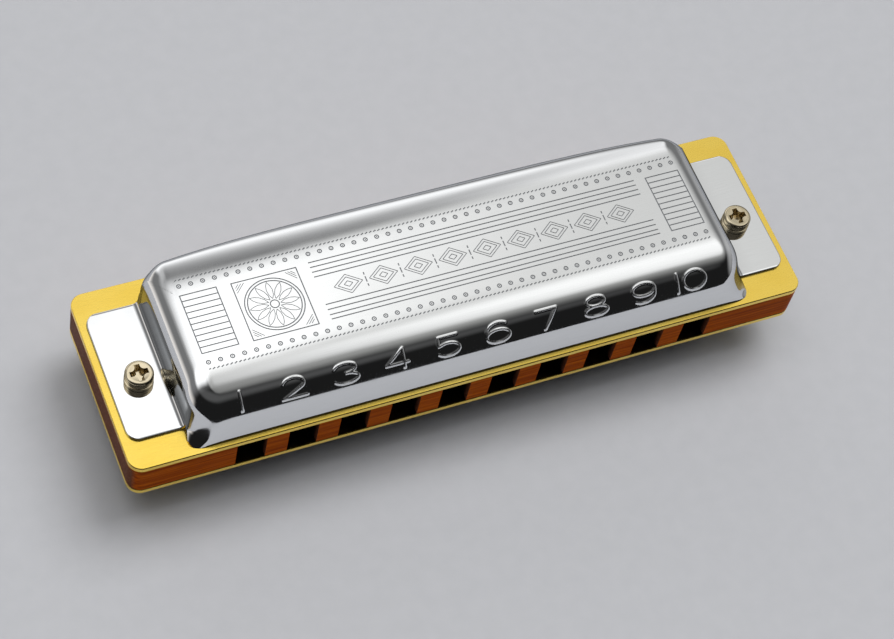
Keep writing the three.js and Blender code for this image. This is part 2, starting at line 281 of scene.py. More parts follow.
CHAMBER_SHADE_FRONT_Y = (-14.1, -13.2)  # the painted shade inside the air chambers fades in and out between these lines
CHAMBER_SHADE_BACK_Y = (11.0, 12.0)
CHAMBER_SHADE_SIDE_X = (36.5, 37.5)


def painted_chamber_shade(shader):
    """Where the painted shade goes: 1 inside the comb's air chambers, and 0 on its outer faces."""
    x, y, _ = shader.axes(shader.place)
    front, back, side = (
        [edge * MM for edge in edges] for edges in (CHAMBER_SHADE_FRONT_Y, CHAMBER_SHADE_BACK_Y, CHAMBER_SHADE_SIDE_X)
    )
    inside = shader.math(
        "MULTIPLY",
        shader.spread(y, *front, 0.0, 1.0),
        shader.spread(shader.math("ABSOLUTE", x), *side, 1.0, 0.0),
    )
    return shader.math("MULTIPLY", inside, shader.spread(y, *back, 1.0, 0.0))


def comb_wood():
    """Reddish hardwood: fine grain along X, dark porous end grain, and painted shade inside the chambers,
    nearly black.
    """
    shader = Shader("comb_wood")
    grain = shader.noise((0.05, 1.6, 3.2), detail=6.0, roughness=0.6, distortion=0.6)
    fibres = shader.noise((0.35, 9.0, 14.0), detail=4.0, roughness=0.7)
    pores = shader.noise((1.5, 3.4, 3.4), detail=5.0, roughness=0.75)
    side = shader.ramp(
        grain, (0.25, (0.22, 0.028, 0.0)), (0.5, (0.50, 0.092, 0.0)), (0.75, (0.80, 0.20, 0.004))
    )
    fibre_shade = shader.ramp(fibres, (0.35, (0.6, 0.52, 0.46)), (0.6, (1.0, 1.0, 1.0)))
    side = shader.mix(shader.value(0.8), side, fibre_shade, "MULTIPLY")
    end = shader.ramp(
        pores, (0.3, (0.065, 0.02, 0.01)), (0.55, (0.17, 0.062, 0.033)), (0.75, (0.34, 0.165, 0.10))
    )
    facing = shader.axes(shader.node("ShaderNodeNewGeometry").outputs["Normal"])
    on_end = shader.spread(shader.math("ABSOLUTE", facing["X"]), 0.6, 0.85, 0.0, 1.0)
    # painted shade: the chambers' insides are coloured nearly black
    chamber_shade = shader.ramp(pores, (0.3, (0.003, 0.0015, 0.001)), (0.7, (0.010, 0.004, 0.002)))
    colour = shader.mix(painted_chamber_shade(shader), shader.mix(on_end, side, end), chamber_shade)
    shader.link(colour, shader.surface.inputs["Base Color"])
    set_inputs(shader.surface, Specular_IOR_Level=0.02)
    shader.dullness(fibres, 0.4, 0.55)
    shader.dent(pores, 0.25, 0.05)
    return shader.material


STEEL = polished_steel()
ETCHED = etched_steel()
PRESSED = pressed_steel()
PLATE = plate_brass()
PLATE_SHADE = tarnished_brass()
REED = reed_brass()
SCREW = screw_metal()
WOOD = comb_wood()


# ---------------------------------------------------------------- mesh helpers


def shade_smooth(mesh, sharp_angle):
    mesh.polygons.foreach_set("use_smooth", [True] * len(mesh.polygons))
    mesh.set_sharp_from_angle(angle=math.radians(sharp_angle))


def new_mesh(name, vertices, faces, material, sharp_angle=40.0):
    mesh = bpy.data.meshes.new(name)
    mesh.from_pydata((np.asarray(vertices, float) * MM).tolist(), [], faces)
    mesh.validate()
    shade_smooth(mesh, sharp_angle)
    mesh.materials.append(material)
    piece = bpy.data.objects.new(name, mesh)
    bpy.context.scene.collection.objects.link(piece)
    return piece


def settle(piece, slot, *nodes):
    """The piece rides on the instrument and stands for these CAD nodes; slot is not used."""
    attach(piece, BODY)
    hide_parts(*nodes)


def cut(piece, cutter):
    """Takes the cutter's volume out of the piece, and deletes the cutter."""
    modifier = piece.modifiers.new("cut", "BOOLEAN")
    modifier.operation = "DIFFERENCE"
    modifier.solver = "EXACT"
    modifier.object = cutter
    bpy.context.view_layer.update()
    evaluated = piece.evaluated_get(bpy.context.evaluated_depsgraph_get())
    mesh = bpy.data.meshes.new_from_object(evaluated)
    piece.modifiers.clear()
    piece.data = mesh
    shade_smooth(mesh, 40.0)
    bpy.data.objects.remove(cutter)


def arc(centre_x, centre_y, radius_x, radius_y, start_degrees, end_degrees, steps):
    angles = np.radians(np.linspace(start_degrees, end_degrees, steps + 1))
    x = centre_x + radius_x * np.cos(angles)
    return np.stack([x, centre_y + radius_y * np.sin(angles)], axis=1)


def circle(x, y, radius, sides):
    return arc(x, y, radius, radius, 0, 360, sides)[:-1]


def rectangle(min_x, max_x, min_y, max_y):
    return np.array([(min_x, min_y), (max_x, min_y), (max_x, max_y), (min_x, max_y)], float)


def rounded_rectangle(min_x, max_x, min_y, max_y, radius, steps=10):
    """Anticlockwise from the front left corner, with steps + 1 points for each corner."""
    centres = rectangle(min_x + radius, max_x - radius, min_y + radius, max_y - radius)
    corners = zip(centres, (180, 270, 0, 90))
    return np.concatenate([arc(x, y, radius, radius, a, a + 90, steps) for (x, y), a in corners])


def offset_loop(loop, distance):
    """The closed loop moved to its left, which is inwards if it runs anticlockwise, with mitred corners."""
    middle = 0
    for step in (loop - np.roll(loop, 1, axis=0), np.roll(loop, -1, axis=0) - loop):
        step = step / np.linalg.norm(step, axis=1, keepdims=True)
        middle = middle + np.stack([-step[:, 1], step[:, 0]], axis=1)
    scale = 2.0 / np.sum(middle * middle, axis=1, keepdims=True)
    return loop + middle * scale * distance


def triangulate(loops, extra=()):
    """Triangles with the loops' sides among their edges: (points, faces, points' sources, faces' loops)."""
    points = [Vector(point) for loop in loops for point in loop] + [Vector(point) for point in extra]
    numbered = []
    start = 0
    for loop in loops:
        numbered.append(list(range(start, start + len(loop))))
        start += len(loop)
    flat, _, faces, sources, _, owners = delaunay_2d_cdt(points, [], numbered, 0, 1e-7)
    return flat, faces, sources, owners


def flat_faces(loops):
    """Triangles that fill the first loop and leave the others open, numbered through all the loops."""
    _, faces, sources, owners = triangulate(loops)
    return [[min(sources[k]) for k in face] for face, ids in zip(faces, owners) if list(ids) == [0]]


def band(lower, upper):
    """Faces between two closed rings of vertex numbers."""
    size = len(lower)
    return [[lower[k], lower[(k + 1) % size], upper[(k + 1) % size], upper[k]] for k in range(size)]


def prism(name, loops, low, high, material, chamfer):
    """An upright solid: an outline with chamfered edges, then through holes, all anticlockwise."""
    vertices, faces = [], []

    def add_ring(loop, z):
        first = len(vertices)
        vertices.extend((x, y, z) for x, y in loop)
        return list(range(first, len(vertices)))

    outline, holes = loops[0], loops[1:]
    inset = offset_loop(outline, chamfer)
    levels = [(inset, low), (outline, low + chamfer), (outline, high - chamfer), (inset, high)]
    rings = [add_ring(loop, z) for loop, z in levels]
    for lower, upper in zip(rings, rings[1:]):
        faces += band(lower, upper)
    bottom, top = rings[0], rings[-1]
    for hole in holes:
        lower, upper = add_ring(hole, low), add_ring(hole, high)
        faces += [[b, a, d, c] for a, b, c, d in band(lower, upper)]
        bottom, top = bottom + lower, top + upper
    for face in flat_faces([inset, *holes]):
        faces.append([top[k] for k in face])
        faces.append([bottom[k] for k in reversed(face)])
    return new_mesh(name, vertices, faces, material)


def loft(name, rings, material, mirrored=False):
    """A solid through a row of equal rings of (x, y, z) points, with flat ends."""
    size = len(rings[0])
    vertices = [tuple(point) for ring in rings for point in ring]
    faces = []
    for start in range(0, len(vertices) - size, size):
        faces += band(range(start, start + size), range(start + size, start + 2 * size))
    faces.append(list(range(size))[::-1])
    faces.append(list(range(len(vertices) - size, len(vertices))))
    if mirrored:
        faces = [face[::-1] for face in faces]
    return new_mesh(name, vertices, faces, material)


def lathe(name, profile, x, y, sides, material):
    """A solid of revolution about an upright axis; its (radius, z) points start and end on the axis."""
    rings = profile[1:-1]
    vertices = [(x, y, profile[0][1])]
    for radius, z in rings:
        vertices += [(px, py, z) for px, py in circle(x, y, radius, sides)]
    vertices.append((x, y, profile[-1][1]))
    last = len(vertices) - 1
    faces = []
    for k in range(sides):
        n = (k + 1) % sides
        faces.append([0, 1 + n, 1 + k])
        for a in range(1, last - sides, sides):
            faces.append([a + k, a + n, a + n + sides, a + k + sides])
        faces.append([last - sides + k, last - sides + n, last])
    return new_mesh(name, vertices, faces, material)


# ---------------------------------------------------------------- cover: its three profiles

SHEET = 0.43
ROOF_FRONT_Y = -4.5  # the roof is flat up to these lines and rolls down beyond them
ROOF_BACK_Y = 4.8
ROOF_END_X = 37.8
WALL_END_X = 42.0  # foot of the end walls, where the tabs' fillets start
WALL_END_Z = 1.2
EAR_X = 42.3  # free corners beside the tabs flare out to here
EAR_Z = 0.35
BACK_EDGE_Z = 4.4  # the open back's upper edge
BACK_BOW = 1.1  # the back edge runs this much forwards towards its ends
BOW_FADE = 4.0  # the bow grows over this depth behind the panel
HEM_RADIUS = 0.5  # the back edge is turned under
HEM_RUN = (-1.1, 0.15)
PANEL_FRONT_Y = -6.7  # outline of the engraved panel, a little way down each roll
PANEL_BACK_Y = 9.2
PANEL_SIDE_X = 38.5
TAB_FRONT_Y = -10.0
TAB_BACK_Y = 10.4
TAB_TOP_Z = 0.45
TAB_RADIUS = 1.8
TAB_RIM = 0.14  # rounding of the tabs' upper edges
TOP_RADIUS = 2.6  # plan radius of all four corners at the roof
FRONT_RADII = (TOP_RADIUS, 6.4, 1.7)  # the front corners' radius, on its way down
BACK_RADIUS = 4.5

# Control points of the curves from the roof down the front, the back and an end: (reach, height).
NOSE = [(-ROOF_FRONT_Y, ROOF_Z), (7.3, ROOF_Z), (10.2, ROOF_Z), (12.7, ROOF_Z - 2.1)]
NOSE += [(-COVER_FRONT_Y, COVER_LIP_Z)]
BACK = [(ROOF_BACK_Y, ROOF_Z), (9.4, ROOF_Z), (12.3, ROOF_Z), (13.9, ROOF_Z - 0.6)]
BACK += [(COVER_BACK_Y, BACK_EDGE_Z)]
END = [(ROOF_END_X, ROOF_Z), (41.0, ROOF_Z), (40.7, ROOF_Z - 1.7), (42.2, ROOF_Z - 3.1)]
END += [(41.05, ROOF_Z - 2.0), (WALL_END_X, WALL_END_Z)]
FOOT_LEAN = math.atan2(END[-2][1] - END[-1][1], END[-1][0] - END[-2][0])
FILLET_RADIUS = (WALL_END_Z - TAB_TOP_Z) / (1 - math.cos(FOOT_LEAN))


def bezier(controls, t):
    """Points of the Bezier curve with these control points at the parameters t."""
    degree = len(controls) - 1
    t = np.asarray(t, float)[:, None]
    total = 0
    for k, control in enumerate(np.array(controls, float)):
        total = total + math.comb(degree, k) * t**k * (1 - t) ** (degree - k) * control
    return total


FINE = np.linspace(0, 1, 2001)
NOSE_CURVE = bezier(NOSE, FINE)
BACK_CURVE = bezier(BACK, FINE)
END_CURVE = bezier(END, FINE)


def height_at(curve, reach):
    """Height of a profile at a distance from the instrument's middle."""
    return np.interp(reach, curve[:, 0], curve[:, 1], left=ROOF_Z)


def sample_at_height(curve, heights):
    """Points of a profile at these heights."""
    return np.stack([np.interp(-heights, -curve[:, 1], curve[:, k]) for k in range(2)], axis=1)


def roof_height(x, y):
    """Height of the roof inside the panel's outline: flat, and falling a little near all four sides."""
    across = height_at(NOSE_CURVE, -y) + height_at(BACK_CURVE, y) - ROOF_Z
    return height_at(END_CURVE, np.abs(x)) + across - ROOF_Z


def roof_normals(x, y):
    """Upright unit normals of the roof at these places."""
    step = 0.02
    slope_x = (roof_height(x + step, y) - roof_height(x - step, y)) / (2 * step)
    slope_y = (roof_height(x, y + step) - roof_height(x, y - step)) / (2 * step)
    normals = np.stack([-slope_x, -slope_y, np.ones_like(slope_x)], axis=-1)
    return normals / np.linalg.norm(normals, axis=-1, keepdims=True)


def outward(points):
    """Unit normals of a profile that runs outwards and down."""
    steps = np.gradient(points, axis=0)
    normals = np.stack([-steps[:, 1], steps[:, 0]], axis=1)
    return normals / np.linalg.norm(normals, axis=1, keepdims=True)


def smooth(value):
    value = np.clip(value, 0, 1)
    return value * value * (3 - 2 * value)


# ---------------------------------------------------------------- cover: hole numbers

NUMBER_HEIGHT = 2.7
NUMBER_Z = 5.3  # middle of the numbers, up the nose
NUMBER_SHIFT = -1.05  # the numbers stand a little to the left of their holes
TEN_SHIFTS = (-2.2, 0.5)  # places of the last number's two digits
STROKE_HALF_WIDTH = 0.27
STROKE_RISE = 0.14


def number_strokes():
    """The strokes of the ten digits, in a wide plain style. Each is a list of lines, 2 units high."""
    two = np.concatenate([arc(0, 0.36, 1.15, 0.64, 165, -35, 14), [(-1.25, -1), (1.3, -1)]])
    flag = [(1.1, 1), (-0.95, 1), (-1.05, 0.1)]
    five = np.concatenate([flag, arc(0, -0.35, 1.25, 0.65, 130, -150, 18)])
    six = np.concatenate([arc(0.1, 0.1, 1.35, 0.9, 50, 180, 14), arc(0, -0.35, 1.3, 0.65, 180, 540, 26)])
    return {
        "0": [arc(0, 0, 1.3, 1, 0, 360, 28)],
        "1": [np.array([(0, 1), (0, -1)])],
        "2": [two],
        "3": [arc(-0.05, 0.5, 1.2, 0.5, 165, -85, 14), arc(0, -0.5, 1.3, 0.5, 90, -160, 16)],
        "4": [np.array([(0.7, -1), (0.7, 1), (-1.3, -0.45), (1.2, -0.45)])],
        "5": [five],
        "6": [six],
        "7": [np.array([(-1.2, 1), (1.15, 1), (-0.35, -1)])],
        "8": [arc(0, 0.5, 1.05, 0.5, 0, 360, 24), arc(0, -0.5, 1.3, 0.5, 0, 360, 26)],
        "9": [-six],
    }


def number_lines():
    """Every stroke of the numbers 1 to 10, in (x, height up the nose) from the numbers' middle line."""
    strokes = number_strokes()
    lines = []
    for hole in range(HOLE_COUNT):
        text = str(hole + 1)
        shifts = TEN_SHIFTS if len(text) > 1 else (0,)
        for digit, shift in zip(text, shifts):
            x = hole_x(hole) + NUMBER_SHIFT + shift
            lines += [line * NUMBER_HEIGHT / 2 + (x, 0) for line in strokes[digit]]
    return lines


def emboss_heights(x, up, lines):
    """How far the strokes lift the nose at (x, up): a rounded bead along each stroke."""
    nearest = np.full(x.shape, np.inf)
    for line in lines:
        near = (x > line[:, 0].min() - 1) & (x < line[:, 0].max() + 1)
        points = np.stack([x[near], up[near]], axis=1)
        best = nearest[near]
        for start, run in zip(line, np.diff(line, axis=0)):
            share = np.clip((points - start) @ run / max(run @ run, 1e-12), 0, 1)
            best = np.minimum(best, np.linalg.norm(points - start - share[:, None] * run, axis=1))
        nearest[near] = best
    share = np.clip(nearest / STROKE_HALF_WIDTH, 0, 1)
    return STROKE_RISE * (0.5 + 0.5 * np.cos(math.pi * share))


# ---------------------------------------------------------------- cover: engraved panel

LINE_WIDTH = 0.17
THIN_LINE = 0.1
ENGRAVING_DEPTH = 0.05
PANEL_END_X = 37.8
BORDER_LINES_Y = (8.5, -5.95)
TICK_PITCH = 0.62
TICK_RUN = 0.4
TICK_RISE = 0.2
RING_LINES_Y = (7.5, -4.9)
RING_PITCH = 1.7
RING_RADIUS = 0.36
DOT_RADIUS = 0.1
LADDER_INNER_X = 32.6
LADDER_FRONT_Y = -3.4
LADDER_BACK_Y = 6.0
LADDER_CELLS = 10
ROSETTE_X = -25.8
ROSETTE_Y = 1.2
ROSETTE_HALF = 4.7
ROSETTE_RINGS = ((4.2, 64), (3.8, 64), (0.7, 24))  # radius and number of sides
PETALS = 12
BAND_LEFT_X = -19.2
BAND_RIGHT_X = 30.8
BAND_UPPER_LINES = (6.1, 5.3, 4.5, 3.7)
BAND_LOWER_LINES = (-0.9, -1.75, -2.6, -3.3)
LOZENGES = 9
LOZENGE_PITCH = 5.2
LOZENGE_HALF_WIDTH = 2.1
LOZENGE_HALF_HEIGHT = 1.55
LOZENGE_SCALES = (1.0, 0.72, 0.3)


class Engraving:
    """Polygons that are cut into the roof, and the islands that stand inside them."""

    def __init__(self):
        self.cuts = []
        self.islands = []

    def line(self, start, end, width=LINE_WIDTH, overrun=0.0):
        """A straight line, cut as a thin rectangle."""
        start, end = np.array(start, float), np.array(end, float)
        along = (end - start) / np.linalg.norm(end - start)
        start, end = start - along * overrun, end + along * overrun
        side = np.array([-along[1], along[0]]) * width / 2
        self.cuts.append(np.array([start - side, end - side, end + side, start + side]))

    def path(self, points, width, overrun=0.0):
        for start, end in zip(points, points[1:]):
            self.line(start, end, width, overrun)

    def ring(self, x, y, radius, sides=16):
        self.cuts.append(circle(x, y, radius, sides))
        self.islands.append(circle(x, y, radius - LINE_WIDTH, sides))


def engrave_borders(marks):
    """Slanted ticks and dotted rings along the roof's front and back."""
    for y in BORDER_LINES_Y:
        for x in np.arange(-PANEL_END_X, PANEL_END_X, TICK_PITCH):
            marks.line((x, y - TICK_RISE / 2), (x + TICK_RUN, y + TICK_RISE / 2))
    count = int(2 * (PANEL_END_X - 0.4) / RING_PITCH)
    for y in RING_LINES_Y:
        for k in range(count + 1):
            x = (k - count / 2) * RING_PITCH
            marks.ring(x, y, RING_RADIUS)
            marks.cuts.append(circle(x, y, DOT_RADIUS, 6))


def engrave_ladders(marks):
    """A ladder at each end, and the ruled lines between them."""
    for end in (-1, 1):
        inner, outer = end * LADDER_INNER_X, end * PANEL_END_X
        for y in np.linspace(LADDER_FRONT_Y, LADDER_BACK_Y, LADDER_CELLS + 1):
            marks.line((inner, y), (outer, y))
        for x in (inner, outer):
            marks.line((x, LADDER_FRONT_Y), (x, LADDER_BACK_Y), overrun=LINE_WIDTH / 2)
    for y in BAND_UPPER_LINES + BAND_LOWER_LINES:
        marks.line((BAND_LEFT_X, y), (BAND_RIGHT_X, y))


def engrave_rosette(marks):
    """A plain compass-drawn flower in a square with corner fans."""
    middle = np.array([ROSETTE_X, ROSETTE_Y])
    square = middle + rectangle(-ROSETTE_HALF, ROSETTE_HALF, -ROSETTE_HALF, ROSETTE_HALF)
    marks.path([*square, square[0]], LINE_WIDTH, overrun=LINE_WIDTH / 2)
    for radius, sides in ROSETTE_RINGS:
        marks.ring(*middle, radius, sides)
    half_petal = np.array([(0.85, 0.0), (1.5, 0.32), (2.3, 0.42), (3.0, 0.28), (3.55, 0.0)])
    for angle in 2 * math.pi * np.arange(PETALS) / PETALS:
        turn = np.array([(math.cos(angle), math.sin(angle)), (-math.sin(angle), math.cos(angle))])
        for side in (-1, 1):
            marks.path(middle + half_petal * (1, side) @ turn, THIN_LINE)
    for side in np.array([(-1, -1), (-1, 1), (1, -1), (1, 1)]):
        corner = middle + side * (ROSETTE_HALF - 0.35)
        for reach in (0.55, 0.95, 1.35):
            marks.line(corner - side * (reach, 0), corner - side * (0, reach), THIN_LINE)


def engrave_lozenges(marks):
    """A row of nested lozenges and bars between the ruled lines."""
    middle = np.array([BAND_LEFT_X + BAND_RIGHT_X, BAND_UPPER_LINES[-1] + BAND_LOWER_LINES[0]]) / 2
    w, h = LOZENGE_HALF_WIDTH, LOZENGE_HALF_HEIGHT
    lozenge = np.array([(-w, 0), (0, -h), (w, 0), (0, h), (-w, 0)])
    for k in range(LOZENGES):
        centre = middle + ((k - (LOZENGES - 1) / 2) * LOZENGE_PITCH, 0)
        for scale in LOZENGE_SCALES:
            marks.path(centre + lozenge * scale, 0.11)
        if k < LOZENGES - 1:
            for offset, half in ((-0.95, 0.21), (0, 0.45), (0.95, 0.21)):
                bar = centre + (LOZENGE_PITCH / 2, offset)
                marks.line(bar - (0, half), bar + (0, half))


def panel_engraving():
    marks = Engraving()
    engrave_borders(marks)
    engrave_ladders(marks)
    engrave_rosette(marks)
    engrave_lozenges(marks)
    return marks


# ---------------------------------------------------------------- cover: rows and columns of its sheet

NUMBER_COLUMNS_X = 35.9  # the fine columns of the nose reach this far each way
NUMBER_ROWS_Z = (6.75, 3.4)  # the fine rows run between these heights
FINE_STEP = 0.11  # distance between the nose's columns, with and without numbers
COARSE_STEP = 0.9
CREST_SHARE = 0.15  # the sheet has the crests' finish where it rises more than this share of a stroke
SKIRT_ROWS = 6
FILLET_ROWS = 10
ROOF_FADE = 2.2  # height over which a corner's rows turn from the roof's own curve to the blended one
RIM_STEPS = np.array([0.0, 0.03, 0.07, 0.14])  # rows across a tab's rounded edge
EDGE_STEPS = np.array([*RIM_STEPS, 0.35, 0.7, 1.15, 1.8])  # columns near a tab's front and back edges


def nose_parameter(z):
    """Where the nose's curve is at this height."""
    return np.interp(-z, -NOSE_CURVE[:, 1], FINE)


def nose_rows(fine):
    """Points down the nose for the rows of the surface, close together where the numbers are."""
    top = np.interp(-PANEL_FRONT_Y, NOSE_CURVE[:, 0], FINE)
    high, low = [nose_parameter(z) for z in NUMBER_ROWS_Z]
    upper = np.linspace(top, high, 7)[:-1]
    middle = np.linspace(high, low, 50 if fine else 20)[:-1]
    return bezier(NOSE, np.concatenate([upper, middle, np.linspace(low, nose_parameter(WALL_END_Z), 7)]))


def cover_columns(fine):
    """Columns around the cover, anticlockwise from the front left: (region, side, place in the region)."""
    step = FINE_STEP if fine else COARSE_STEP
    across = np.linspace(-NUMBER_COLUMNS_X, NUMBER_COLUMNS_X, int(2 * NUMBER_COLUMNS_X / step) + 1)
    corner = np.linspace(0, 1, 17)[1:-1]
    near_edge = EDGE_STEPS / (TAB_BACK_Y - TAB_FRONT_Y)
    along = np.linspace(near_edge[-1], 1 - near_edge[-1], 22)[1:-1]
    right = [("front_end", 0.5)]
    right += [("front_corner", k) for k in corner]
    right += [("gap_front", 0.0), ("gap_front", 0.5)]
    right += [("tab", k) for k in (*near_edge, *along, *(1 - near_edge[::-1]))]
    right += [("gap_back", 1.0)]
    right += [("back_corner", k) for k in corner]
    columns = [("front", 1, x) for x in across]
    columns += [(region, 1, k) for region, k in right]
    columns += [("back", 1, k) for k in np.linspace(1, -1, 81)]
    columns += [(region, -1, k) for region, k in right[::-1]]
    return columns


def rim_drop(gap):
    """How far a tab's rounded edge has fallen at this distance inside it."""
    short = np.clip(TAB_RIM - gap, 0, TAB_RIM)
    return TAB_RIM - np.sqrt(TAB_RIM**2 - short**2)


def hem(edge):
    """The back edge's sheet turned under: a tight curl, then a short run forwards."""
    curl = arc(edge[0] - HEM_RADIUS, edge[1], HEM_RADIUS, HEM_RADIUS, 0, -90, SKIRT_ROWS - 1)[1:]
    return np.concatenate([curl, [curl[-1] + HEM_RUN]])


class Rows:
    """The cover's plan outline and heights: arrays with an entry for each row from the roof's edge down."""

    def __init__(self, fine, inset):
        self.inset = inset
        wall = nose_rows(fine)
        self.main = len(wall)
        share = (wall[0, 1] - wall[:, 1]) / (wall[0, 1] - WALL_END_Z)
        skirt = np.linspace(0, 1, SKIRT_ROWS + 1)[1:]
        lip = nose_parameter(WALL_END_Z)
        nose = np.concatenate([wall, bezier(NOSE, lip + (1 - lip) * skirt)])

        end_top = height_at(END_CURVE, PANEL_SIDE_X)
        side = sample_at_height(END_CURVE, end_top + (WALL_END_Z - end_top) * share)
        flare = (WALL_END_X + 0.55 * (EAR_X - WALL_END_X), (WALL_END_Z + EAR_Z) / 2)
        side = np.concatenate([side, bezier([side[-1], flare, (EAR_X, EAR_Z)], skirt)])

        back_top = height_at(BACK_CURVE, PANEL_BACK_Y)
        back = sample_at_height(BACK_CURVE, back_top + (BACK_EDGE_Z - back_top) * share)
        back = np.concatenate([back, hem(back[-1])])

        self.nose = nose
        self.nose_length = np.cumsum([0, *np.linalg.norm(np.diff(nose, axis=0), axis=1)])
        self.front, self.side, self.back = [
            profile - outward(profile) * inset for profile in (nose, side, back)
        ]
        fall = np.clip((ROOF_Z - nose[:, 1]) / (ROOF_Z - COVER_LIP_Z), 0, 1)
        self.front_radius = bezier([(radius,) for radius in FRONT_RADII], fall)[:, 0] - inset
        self.back_radius = TOP_RADIUS + (BACK_RADIUS - TOP_RADIUS) * np.minimum(fall * 1.4, 1) - inset
        self.bow = BACK_BOW * np.clip((self.back[:, 0] - PANEL_BACK_Y) / BOW_FADE, 0, 1)
        straight = self.side[:, 0] - self.front_radius
        self.front_scale = np.minimum(straight / (NUMBER_COLUMNS_X + 0.3), 1)

    def rounded_top(self, x, y, z):
        """Near the roof the heights are the roof's own; they fade into the blended ones further down."""
        own = roof_height(x, np.clip(y, COVER_FRONT_Y, COVER_BACK_Y))
        return z + (own - z) * smooth(1 - np.maximum(ROOF_Z - z, 0) / ROOF_FADE)

    def wall_y(self, region, place):
        """An end wall's rows across the instrument, divided at the tab's edges."""
        low = -self.front[:, 0] + self.front_radius
        high = self.back[:, 0] - self.back_radius
        foot_low, foot_high = low[self.main - 1], high[self.main - 1]
        start, end = [(y - foot_low) / (foot_high - foot_low) for y in (TAB_FRONT_Y, TAB_BACK_Y)]
        share = {
            "gap_front": start * place,
            "tab": start + (end - start) * place,
            "gap_back": end + (1 - end) * place,
        }[region]
        return low + (high - low) * share

    def column(self, region, side, place):
        """The column's points from the roof's edge down, as an array of (x, y, z)."""
        half, front, back = self.side[:, 0], -self.front[:, 0], self.back[:, 0]
        front_z, side_z, back_z = self.front[:, 1], self.side[:, 1], self.back[:, 1]
        fr, br = self.front_radius, self.back_radius
        if region == "front":
            x, y, z = place * self.front_scale, front, front_z
        elif region == "front_end":
            first = NUMBER_COLUMNS_X * self.front_scale
            x, y, z = first + place * (half - fr - first), front, front_z
        elif region == "back":
            x, z = place * (half - br), back_z
            y = back - self.bow * (np.abs(x) / PANEL_SIDE_X) ** 4
        elif region == "front_corner":
            angle = (place - 1) * math.pi / 2
            x = half - fr + fr * math.cos(angle)
            y = front + fr + fr * math.sin(angle)
            z = front_z + (side_z - front_z) * smooth(place)
        elif region == "back_corner":
            angle = place * math.pi / 2
            x = half - br + br * math.cos(angle)
            y = back - br + br * math.sin(angle) - self.bow * (x / PANEL_SIDE_X) ** 4 * smooth(place)
            z = side_z + (back_z - side_z) * smooth((place - 0.3) / 0.7)
        else:
            x, y, z = half, self.wall_y(region, place), side_z
        if not self.inset:
            z = self.rounded_top(x, y, z)
        return np.stack([side * x, y, z], axis=1)

    def tab_column(self, side, place):
        """The fillet and the tab beyond a wall column, from the wall's foot to the tab's outer edge."""
        y = TAB_FRONT_Y + (TAB_BACK_Y - TAB_FRONT_Y) * place
        turn = np.linspace(FOOT_LEAN, 0, FILLET_ROWS + 1)[1:]
        fillet_x = WALL_END_X + FILLET_RADIUS * math.sin(FOOT_LEAN)
        fillet_x = fillet_x - (FILLET_RADIUS + self.inset) * np.sin(turn)
        fillet_z = TAB_TOP_Z + FILLET_RADIUS - (FILLET_RADIUS + self.inset) * np.cos(turn)
        edge_gap = min(y - TAB_FRONT_Y, TAB_BACK_Y - y)
        reach = max(TAB_RADIUS - edge_gap, 0)
        outer = TAB_END_X - TAB_RADIUS + math.sqrt(max(TAB_RADIUS**2 - reach**2, 0))
        rim = outer - RIM_STEPS[::-1]
        flat = [*np.linspace(fillet_x[-1], rim[0], 4)[1:-1], rim[0] - 0.05]
        x = np.concatenate([fillet_x, flat, rim])
        z = np.concatenate([fillet_z, np.full(len(x) - FILLET_ROWS, fillet_z[-1])])
        if not self.inset:
            z -= np.minimum(rim_drop(outer - x) + rim_drop(edge_gap), TAB_RIM)
        return np.stack([side * x, np.full_like(x, y), z], axis=1)


# ---------------------------------------------------------------- cover: its sheet


